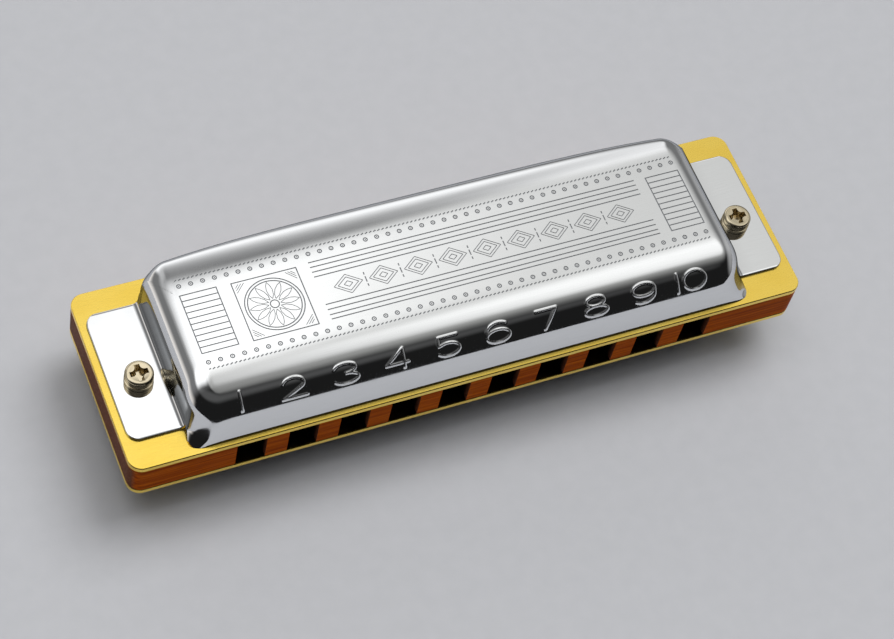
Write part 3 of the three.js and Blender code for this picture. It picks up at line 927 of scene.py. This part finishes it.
class Sheet:
    """One side of the cover's sheet: vertices, faces and the closed loop of its free edge."""

    def __init__(self, fine, inset, columns, keep, lines):
        self.rows = Rows(fine, inset)
        self.columns = columns
        self.keep = keep
        self.vertices = []
        self.faces = []
        self.raised = set()
        self.grid = {}
        self.tabs = {}
        self.skirts = {}
        self.lift = self.number_lift(lines) if lines else {}
        for index in keep:
            self.add_column(index)
        for a, b in zip(keep, keep[1:] + keep[:1]):
            self.join(a, b)

    def number_lift(self, lines):
        """Heights of the numbers on the nose's columns, as {column index: array}."""
        rows = self.rows
        middle = np.interp(-NUMBER_Z, -rows.nose[:, 1], rows.nose_length)
        fronts = [index for index in self.keep if self.columns[index][0] == "front"]
        x = np.array([self.columns[index][2] for index in fronts])[:, None] * rows.front_scale
        up = np.broadcast_to(middle - rows.nose_length, x.shape)
        return dict(zip(fronts, emboss_heights(x.ravel(), up.ravel(), lines).reshape(x.shape)))

    def add_points(self, points):
        first = len(self.vertices)
        self.vertices += [tuple(point) for point in points]
        return list(range(first, len(self.vertices)))

    def add_column(self, index):
        region, side, place = self.columns[index]
        main = self.rows.main
        points = self.rows.column(region, side, place)
        if index in self.lift:
            normal = outward(self.rows.nose)
            points[:, 1] -= self.lift[index] * normal[:, 0]
            points[:, 2] += self.lift[index] * normal[:, 1]
        self.grid[index] = self.add_points(points[:main])
        if index in self.lift:
            crest = self.lift[index][:main] > CREST_SHARE * STROKE_RISE
            self.raised.update(np.array(self.grid[index])[crest].tolist())
        foot = self.grid[index][-1]
        if region == "tab":
            self.tabs[index] = [foot, *self.add_points(self.rows.tab_column(side, place))]
        if region != "tab" or place in (0.0, 1.0):
            self.skirts[index] = [foot, *self.add_points(points[main:])]

    def join(self, a, b):
        """Faces between two neighbouring columns: the wall, and below it the tab or the skirt."""
        below = self.tabs if a in self.tabs and b in self.tabs else self.skirts
        for left, right in ((self.grid[a], self.grid[b]), (below[a], below[b])):
            for k in range(len(left) - 1):
                self.faces.append([left[k + 1], right[k + 1], right[k], left[k]])

    def edge(self):
        """The free edge all the way round, as [(key, vertex)]; both sides of the sheet share the keys."""
        loop = []
        keep = self.keep
        for position, index in enumerate(keep):
            previous, following = keep[position - 1], keep[(position + 1) % len(keep)]
            if index not in self.tabs:
                loop.append(((index, "skirt", -1), self.skirts[index][-1]))
            elif previous not in self.tabs:
                loop += self.walk(index, "skirt")[::-1] + self.walk(index, "tab")[1:]
            elif following not in self.tabs:
                loop += self.walk(index, "tab")[::-1] + self.walk(index, "skirt")[1:]
            else:
                loop.append(((index, "tab", -1), self.tabs[index][-1]))
        return loop

    def walk(self, index, kind):
        """The steps down a column that is itself part of the free edge."""
        ids = self.tabs[index] if kind == "tab" else self.skirts[index]
        return [((index, kind, k if k < len(ids) - 1 else -1), vertex) for k, vertex in enumerate(ids)]


def roof_grid():
    """Points that keep the roof's triangles small where it starts to roll down."""
    lines_y = (-6.3, -5.6, -5.0, -4.4, 6.7, 7.2, 8.0, 8.8)
    lines_x = (-36.9, -37.4, -38.0, 36.9, 37.4, 38.0)
    points = [(x, y) for y in lines_y for x in np.arange(-36, 36.5, 0.9)]
    return points + [(x, y) for x in lines_x for y in np.arange(-4, 7.5, 0.8)]


def roof_faces(sheet, marks):
    """Fills the roof with the engraving sunk in; returns its etched faces and its polished vertices."""
    rim = [sheet.grid[index][0] for index in sheet.keep]
    outline = [sheet.vertices[vertex][:2] for vertex in rim]
    flat, faces, sources, owners = triangulate([outline, *marks.cuts, *marks.islands], roof_grid())
    cut_ids = set(range(1, 1 + len(marks.cuts)))
    polished, sunken = {}, {}
    for index, origin in enumerate(sources):
        on_rim = [k for k in origin if k < len(rim)]
        if on_rim:
            polished[index] = rim[on_rim[0]]

    def vertex(index, sunk):
        made = sunken if sunk else polished
        if index not in made:
            x, y = flat[index]
            made[index] = len(sheet.vertices)
            sheet.vertices.append((x, y, float(roof_height(x, y)) - ENGRAVING_DEPTH * sunk))
        return made[index]

    edges = {}
    etched = []
    for face, ids in zip(faces, map(set, owners)):
        if 0 not in ids:
            continue
        sunk = len(ids & cut_ids) > len(ids - cut_ids - {0})
        if sunk:
            etched.append(len(sheet.faces))
        sheet.faces.append([vertex(index, sunk) for index in face])
        for a, b in zip(face, [*face[1:], face[0]]):
            edges[(a, b)] = sunk
    for (a, b), sunk in edges.items():
        if sunk and edges.get((b, a)) is False:
            etched.append(len(sheet.faces))
            sheet.faces.append([vertex(b, True), vertex(a, True), vertex(a, False), vertex(b, False)])
    return etched, sorted(polished.values())


def smooth_roof(mesh, polished, etched, turned):
    """Gives the polished roof its curve's exact normals, so that the engraving doesn't dent reflections."""
    normals = np.empty(3 * len(mesh.loops), np.float32)
    mesh.corner_normals.foreach_get("vector", normals)
    normals = normals.reshape(-1, 3)
    vertices = np.empty(len(mesh.loops), np.int32)
    mesh.loops.foreach_get("vertex_index", vertices)
    face_sizes = np.empty(len(mesh.polygons), np.int32)
    mesh.polygons.foreach_get("loop_total", face_sizes)
    sunk = np.zeros(len(mesh.polygons), bool)
    sunk[etched] = True
    on_top = np.isin(vertices, polished) & ~np.repeat(sunk, face_sizes)
    points = np.array([mesh.vertices[int(k)].co for k in vertices[on_top]]) / MM
    sides = (-1, 1, -1) if turned else (1, 1, 1)
    normals[on_top] = roof_normals(points[:, 0], points[:, 1]) * sides
    mesh.normals_split_custom_set(normals.tolist())


def edge_faces(outer, inner, shift):
    """Faces between the free edges of a sheet's two sides, the outer of which may have more points."""
    outer_edge, inner_edge = outer.edge(), inner.edge()
    places = {key: k for k, (key, _) in enumerate(outer_edge)}
    faces = []
    for (key, vertex), (next_key, next_vertex) in zip(inner_edge, inner_edge[1:] + inner_edge[:1]):
        start, end = places[key], places[next_key]
        chain = outer_edge[start : end + 1]
        if end < start:
            chain = outer_edge[start:] + outer_edge[: end + 1]
        faces.append([shift + vertex, shift + next_vertex] + [v for _, v in reversed(chain)])
    return faces


def cover(name, node, lower):
    """A whole cover: engraved outer surface, plain inner surface and the sheet's edge between them."""
    fine = not lower
    columns = cover_columns(fine)
    every = list(range(len(columns)))
    fronts = [index for index in every if columns[index][0] == "front"]
    coarse = {*fronts[:: 8 if fine else 1], fronts[-1]}
    inner_keep = [index for index in every if columns[index][0] != "front" or index in coarse]

    outer = Sheet(fine, 0.0, columns, every, number_lines() if fine else [])
    etched, polished = roof_faces(outer, panel_engraving())
    inner = Sheet(False, SHEET, columns, inner_keep, [])
    shift = len(outer.vertices)
    faces = outer.faces + [[shift + k for k in reversed(face)] for face in inner.faces]
    faces.append([shift + inner.grid[index][0] for index in reversed(inner_keep)])
    faces += edge_faces(outer, inner, shift)

    turn, seat = ((-1, 1, -1), LOWER_SEAT) if lower else ((1, 1, 1), TOP_SEAT)
    points = np.array(outer.vertices + inner.vertices) * turn + (0, 0, seat)
    piece = new_mesh(name, points, faces, STEEL, sharp_angle=50.0)
    piece.data.materials.append(ETCHED)
    piece.data.materials.append(PRESSED)
    finishes = np.zeros(len(piece.data.polygons), np.int32)
    finishes[etched] = 1
    finishes[[k for k, face in enumerate(outer.faces) if outer.raised.issuperset(face)]] = 2
    piece.data.polygons.foreach_set("material_index", finishes)
    smooth_roof(piece.data, polished, etched, lower)
    settle(piece, "cover_steel", node)


# ---------------------------------------------------------------- comb and reed plates

PLATE_SCREW_NODES = [f"plate_screw_{k}" for k in range(1, 7)]
REED_PAD = 3.0  # length of a reed's riveted pad
SLOT_HALF = 1.2
SLOT_GAP = 0.1
CHAMBER_GAP = 0.4  # between a blow reed's pad and the back of its air chamber
COVER_SCREW_HOLE = 1.15
PLATE_SCREW_HOLE = 0.95
RIB_RADIUS = 0.26
GROOVE_BACK_Y = -12.8
GROOVE_DEPTH = 0.4


def screw_hole_loops():
    """Plan outlines of the holes for all the screws that pass through the stack."""
    loops = [circle(end * SCREW_X, SCREW_Y, COVER_SCREW_HOLE, 24) for end in (-1, 1)]
    return loops + [circle(*node_centre(node)[:2], PLATE_SCREW_HOLE, 20) for node in PLATE_SCREW_NODES]


def comb():
    """A block with ten air chambers, each open at the mouth face and a little longer than its reeds."""
    low, high = cad_box_mm("comb")
    corners = rounded_rectangle(-HALF_LENGTH, HALF_LENGTH, -HALF_DEPTH, HALF_DEPTH, CORNER_RADIUS)
    chambers = []
    for hole in range(HOLE_COUNT):
        left, right = hole_x(hole) - HOLE_WIDTH / 2, hole_x(hole) + HOLE_WIDTH / 2
        end = cad_box_mm(f"blow_reed_{hole + 1:02d}")[1][1] + CHAMBER_GAP
        chambers += [(left, -HALF_DEPTH), (left, end), (right, end), (right, -HALF_DEPTH)]
    outline = np.insert(corners, len(corners) // 4, chambers, axis=0)
    piece = prism("comb_body", [outline, *screw_hole_loops()], low[2], high[2], WOOD, chamfer=0.12)
    settle(piece, "comb_wood", "comb")


def slot_loop(kind, hole):
    """Plan outline of the slot by a reed's tongue. Draw reeds point backwards, and blow reeds forwards."""
    low, high = cad_box_mm(f"{kind}_reed_{hole + 1:02d}")
    x = (low[0] + high[0]) / 2
    if kind == "draw":
        return rectangle(x - SLOT_HALF, x + SLOT_HALF, low[1] + REED_PAD, high[1] + SLOT_GAP)
    return rectangle(x - SLOT_HALF, x + SLOT_HALF, low[1] - SLOT_GAP, high[1] - REED_PAD)


def groove_section():
    """What is cut along a plate's front edge, in (y, height): a hollow behind a rounded rib."""
    rib_y = -HALF_DEPTH + RIB_RADIUS
    rib = arc(rib_y, -RIB_RADIUS, RIB_RADIUS + 0.002, RIB_RADIUS, 180, 30, 14)
    middle = (GROOVE_BACK_Y + rib[-1, 0]) / 2
    hollow = arc(middle, rib[-1, 1], GROOVE_BACK_Y - middle, GROOVE_DEPTH + rib[-1, 1], 180, 360, 12)
    front = -HALF_DEPTH - 0.3
    corners = [(GROOVE_BACK_Y, 1.0), (front, 1.0), (front, -RIB_RADIUS)]
    return np.concatenate([corners, rib, hollow[1:]])


def reed_plate(name, node, kind, side):
    """A plate with its slots, and the rib and the cover's groove along the front of its outer face."""
    low, high = [corner[2] for corner in cad_box_mm(node)]
    outer, inner = (high, low) if side > 0 else (low, high)
    outline = rounded_rectangle(-HALF_LENGTH, HALF_LENGTH, -HALF_DEPTH, HALF_DEPTH, CORNER_RADIUS)
    slots = [slot_loop(kind, hole) for hole in range(HOLE_COUNT)]
    piece = prism(name, [outline, *screw_hole_loops(), *slots], low, high, PLATE, chamfer=0.1)
    section = groove_section() * (1, side) + (0, outer)
    if side > 0:
        section = section[::-1]
    ends = (-HALF_LENGTH - 1, HALF_LENGTH + 1)
    cut(piece, loft("groove_cutter", [[(x, y, z) for y, z in section] for x in ends], PLATE))
    # the inner faces take the painted-shade brass, dark like the shaded chambers
    piece.data.materials.append(PLATE_SHADE)
    for polygon in piece.data.polygons:
        if abs(polygon.center.z - inner * MM) < 0.01 * MM:
            polygon.material_index = 1
    settle(piece, "plate_brass", node)


# ---------------------------------------------------------------- reeds and rivets

PAD_HALF = 1.6
PAD_THICKNESS = 0.25
TONGUE_HALF = 1.1
TONGUE_THICKNESS = 0.2
TONGUE_GRINDING = 0.09


def reed(kind, hole):
    """A riveted pad and a tongue that is ground thinner."""
    label = f"{hole + 1:02d}"
    node = f"{kind}_reed_{label}"
    low, high = cad_box_mm(node)
    x, _, middle = (low + high) / 2
    towards = 1 if kind == "draw" else -1
    start = low[1] if towards > 0 else high[1]
    tongue = high[1] - low[1] - REED_PAD
    stations = [
        (0.0, PAD_HALF - 0.25, PAD_THICKNESS),
        (0.25, PAD_HALF, PAD_THICKNESS),
        (REED_PAD - 0.25, PAD_HALF, PAD_THICKNESS),
        (REED_PAD, TONGUE_HALF, TONGUE_THICKNESS),
    ]
    for share in np.arange(1, 15) / 14:
        ground = TONGUE_GRINDING * math.sin(math.pi * min(share * 1.15, 1.0))
        stations.append((REED_PAD + tongue * share, TONGUE_HALF, TONGUE_THICKNESS - ground))
    rings = []
    for along, half, thickness in stations:
        section = rectangle(x - half, x + half, high[2] - thickness, high[2])
        rings.append([(px, start + towards * along, z) for px, z in section])
    piece = loft(f"{kind}_reed_tongue_{label}", rings, REED, mirrored=towards > 0)
    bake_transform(piece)
    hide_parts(node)


def rivet(kind, hole):
    """A domed head below, a shank through the pad and the plate, and a flatter dome above."""
    label = f"{hole + 1:02d}"
    node = f"{kind}_rivet_{label}"
    low, high = cad_box_mm(node)
    x, y, _ = (low + high) / 2
    head, tail, shank = 1.1, 0.85, 0.6
    head_rise, tail_rise = 0.35, 0.22
    head_z, tail_z = low[2] + head_rise, high[2] - tail_rise
    head_turn, tail_turn = np.radians((25, 45, 65, 80, 90)), np.radians((0, 25, 50, 70))
    profile = [(0.0, low[2])]
    profile += [(head * math.sin(a), head_z - head_rise * math.cos(a)) for a in head_turn]
    profile += [(shank, head_z), (shank, tail_z)]
    profile += [(tail * math.cos(a), tail_z + tail_rise * math.sin(a)) for a in tail_turn]
    profile += [(0.0, high[2])]
    settle(lathe(f"{kind}_rivet_pin_{label}", profile, x, y, 20, REED), "reed_brass", node)


# ---------------------------------------------------------------- screws and nuts


def cross_outline(reach, half_width, fillet):
    """A cross with rounded inner corners, anticlockwise."""
    inner = half_width + fillet
    quarter = [(reach, -half_width), (reach, half_width), *arc(inner, inner, fillet, fillet, 270, 180, 5)]
    turns = [Matrix.Rotation(k * math.pi / 2, 2) for k in range(4)]
    return np.array([tuple(turn @ Vector(point)) for turn in turns for point in quarter])


def cross_cutter(x, y, top, reach, half_width, depth):
    """A tapered cross-shaped punch that stands on its narrow end."""
    lower = cross_outline(reach * 0.62, half_width * 0.6, half_width * 0.8) + (x, y)
    upper = cross_outline(reach, half_width, half_width * 1.5) + (x, y)
    levels = ((lower, top - depth), (upper, top + 0.02))
    return loft("cross_cutter", [[(px, py, z) for px, py in loop] for loop, z in levels], SCREW)


def screw(name, node, head_radius, head_height, shank_radius, rounding, recess):
    """A round head with a ring cut into its side, a cross recess and a plain shank."""
    low, high = cad_box_mm(node)
    x, y, _ = (low + high) / 2
    seat = high[2] - head_height
    ring = seat + 0.3 * head_height
    upper_radius = head_radius - 0.04
    ring_radius = head_radius - 0.14
    profile = [(0.0, low[2]), (shank_radius - 0.2, low[2]), (shank_radius, low[2] + 0.2)]
    profile += [(shank_radius, seat), (head_radius - 0.08, seat), (head_radius, seat + 0.08)]
    profile += [(head_radius, ring), (ring_radius, ring + 0.05), (ring_radius, ring + 0.15)]
    profile += [(upper_radius, ring + 0.22)]
    profile += [*arc(upper_radius - rounding, high[2] - rounding, rounding, rounding, 0, 90, 6)]
    profile += [(head_radius * 0.62, high[2] - 0.03), (0.0, high[2] - 0.05)]
    piece = lathe(name, profile, x, y, 64, SCREW)
    cut(piece, cross_cutter(x, y, high[2], *recess))
    settle(piece, "screw_metal", node)


def nut(name, node):
    low, high = cad_box_mm(node)
    x, y, _ = (low + high) / 2
    loops = [circle(x, y, (high[1] - low[1]) / 2, 6), circle(x, y, 1.1, 32)]
    settle(prism(name, loops, low[2], high[2], SCREW, chamfer=0.18), "screw_metal", node)


# ---------------------------------------------------------------- the whole instrument

comb()
reed_plate("upper_plate", "upper_reed_plate", "blow", 1)
reed_plate("lower_plate", "lower_reed_plate", "draw", -1)
cover("upper_cover_shell", "upper_cover", lower=False)
cover("lower_cover_shell", "lower_cover", lower=True)
for hole in range(HOLE_COUNT):
    for kind in ("blow", "draw"):
        reed(kind, hole)
        rivet(kind, hole)
for end in ("left", "right"):
    screw(f"cover_bolt_{end}", f"cover_screw_{end}", 2.05, 1.85, 1.0, 0.38, (1.3, 0.4, 1.1))
    nut(f"cover_lock_nut_{end}", f"cover_nut_{end}")
for index, node in enumerate(PLATE_SCREW_NODES):
    screw(f"plate_bolt_{index + 1}", node, 1.45, 0.8, 0.8, 0.2, (0.95, 0.2, 0.45))


# ---------------------------------------------------------------- stage, light and camera

FLOOR_HALF = 3000.0
UP = (0, 0, 1)
DOWN = (0, 0, -1)
BEHIND = (0, 1, 0)
RIGHT = (1, 0, 0)
BACKDROP = (0.5, 0.505, 0.53, 1.0)

CAMERA_AZIMUTH = math.radians(-35.39)
CAMERA_ELEVATION = math.radians(57.32)
CAMERA_ROLL = math.radians(15.99)
CAMERA_DISTANCE = 348.0
CAMERA_AIM = (-1.414, -4.234, TOP_SEAT)
CAMERA_LENS = 100.0


def floor():
    shader = Shader("studio_floor")
    shader.tone(shader.noise((0.4, 0.4, 0.4), detail=4.0), (0.41, 0.415, 0.435), (0.425, 0.43, 0.45))
    set_inputs(shader.surface, Roughness=0.75, Specular_IOR_Level=0.0)
    corners = rectangle(-FLOOR_HALF, FLOOR_HALF, -FLOOR_HALF, FLOOR_HALF)
    made = new_mesh("floor", [(x, y, 0) for x, y in corners], [[0, 1, 2, 3]], shader.material)


class Sky(Nodes):
    """The world's light, as a sum of soft-edged panels that are placed by direction."""

    def __init__(self):
        world = bpy.data.worlds.new("studio")
        bpy.context.scene.world = world
        super().__init__(world)
        self.direction = self.node("ShaderNodeTexCoord").outputs["Generated"]
        self.total = None

    def edge(self, axis, low, high):
        """0 where the direction's part along the axis is below low, and 1 where it is above high."""
        along = self.node("ShaderNodeVectorMath", operation="DOT_PRODUCT")
        along.inputs[1].default_value = axis
        self.link(self.direction, along.inputs[0])
        step = set_inputs(
            self.node("ShaderNodeMapRange", interpolation_type="SMOOTHSTEP"), From_Min=low, From_Max=high
        )
        self.link(along.outputs["Value"], step.inputs["Value"])
        return step.outputs["Result"]

    def panel(self, strength, *edges, tint=(1.0, 1.0, 1.0)):
        """Adds light inside all the edges. Each edge is (axis, low, high) and fades in along its axis."""
        mask = self.edge(*edges[0])
        for edge in edges[1:]:
            mask = self.math("MULTIPLY", mask, self.edge(*edge))
        light = self.node("ShaderNodeVectorMath", operation="SCALE")
        light.inputs[0].default_value = [strength * value for value in tint]
        self.link(mask, light.inputs["Scale"])
        if self.total is None:
            self.total = light.outputs[0]
            return
        joined = self.node("ShaderNodeVectorMath", operation="ADD")
        self.link(self.total, joined.inputs[0])
        self.link(light.outputs[0], joined.inputs[1])
        self.total = joined.outputs[0]

    def finish(self, seen_colour):
        """The camera itself sees a plain backdrop."""
        background = self.tree.nodes["Background"]
        seen = set_inputs(self.node("ShaderNodeBackground"), Color=seen_colour)
        choose = self.node("ShaderNodeMixShader")
        camera_ray = self.node("ShaderNodeLightPath").outputs["Is Camera Ray"]
        self.link(self.total, background.inputs["Color"])
        for source, target in zip((camera_ray, background.outputs[0], seen.outputs[0]), choose.inputs):
            self.link(source, target)
        self.link(choose.outputs[0], self.tree.nodes["World Output"].inputs["Surface"])


def right_of(azimuth):
    """An axis that fades in to the right of an azimuth, which is in degrees from +Y towards +X."""
    angle = math.radians(azimuth)
    return math.cos(angle), -math.sin(angle), 0


def left_of(azimuth):
    return tuple(-value for value in right_of(azimuth))


def studio_world():
    """Soft panels above, behind and to the right, a dark room in front, and a warm card low on the left."""
    sky = Sky()
    sky.panel(0.012, (UP, -0.2, 0.0))
    sky.panel(0.19, (BEHIND, -0.25, 0.25))
    sky.panel(0.28, (UP, 0.6, 0.8), (DOWN, -0.87, -0.77), (BEHIND, 0.3, 0.45), (left_of(0), -0.05, 0.1))
    overhead = ((0.57, 0.05, 0.82), 0.81, 0.86), (BEHIND, -0.55, 0.05), (UP, 0.55, 0.85)
    sky.panel(0.35, *overhead, tint=(1.0, 1.0, 0.97))
    sky.panel(0.25, *overhead, (DOWN, -0.98, -0.92), tint=(1.0, 1.0, 0.97))
    sky.panel(0.4, ((0.46, 0.08, 0.88), 0.945, 0.985))
    sky.panel(
        1.2,
        ((0.07, -0.83, 0.55), -0.03, 0.11),
        (left_of(35), -0.07, 0.2),
        (BEHIND, -0.05, 0.25),
        (UP, 0.6, 0.78),
    )
    sky.panel(
        1.05,
        (UP, -0.15, 0.38),
        (DOWN, -0.85, -0.38),
        ((-0.87, 0.27, 0.4), -0.04, 0.1),
        (left_of(31), -0.08, 0.12),
        (right_of(-25), -0.1, 0.1),
    )
    sky.panel(
        0.8,
        (UP, 0.35, 0.5),
        (DOWN, -0.78, -0.70),
        (right_of(27), -0.04, 0.1),
        (left_of(37), -0.05, 0.05),
    )
    sky.panel(0.33, (RIGHT, 0.75, 0.95), (UP, -0.1, 0.1))
    sky.panel(0.75, (DOWN, -0.36, -0.02), (right_of(-152), 0.68, 0.86), tint=(1.0, 0.94, 0.88))
    sky.panel(0.08, (UP, 0.62, 0.8), (left_of(-60), 0.1, 0.4))
    sky.finish(BACKDROP)


def soft_light(name, direction, spread_degrees, strength):
    """A distant soft light that shades but isn't seen in reflections."""
    data = bpy.data.lights.new(name, "SUN")
    data.angle = math.radians(spread_degrees)
    data.energy = strength
    made = bpy.data.objects.new(name, data)
    bpy.context.scene.collection.objects.link(made)
    made.rotation_euler = Vector(direction).to_track_quat("Z", "Y").to_euler()
    made.visible_glossy = False


def camera():
    level = math.cos(CAMERA_ELEVATION)
    forward = Vector(
        (
            -math.sin(CAMERA_AZIMUTH) * level,
            math.cos(CAMERA_AZIMUTH) * level,
            -math.sin(CAMERA_ELEVATION),
        )
    )
    data = bpy.data.cameras.new("camera")
    data.lens = CAMERA_LENS
    data.sensor_width = 36.0
    data.clip_start = 0.01
    made = bpy.data.objects.new("camera", data)
    bpy.context.scene.collection.objects.link(made)
    upright = forward.to_track_quat("-Z", "Y").to_matrix().to_4x4()
    place = (Vector(CAMERA_AIM) - forward * CAMERA_DISTANCE) * MM
    made.matrix_world = Matrix.Translation(place) @ upright @ Matrix.Rotation(CAMERA_ROLL, 4, "Z")
    bpy.context.scene.camera = made


floor()
studio_world()
soft_light("key", (0.55, 0.25, 1.0), 38, 1.75)
soft_light("fill", (-0.05, 0.0, 1.0), 50, 1.1)
camera()
bpy.context.scene.view_settings.view_transform = "Standard"
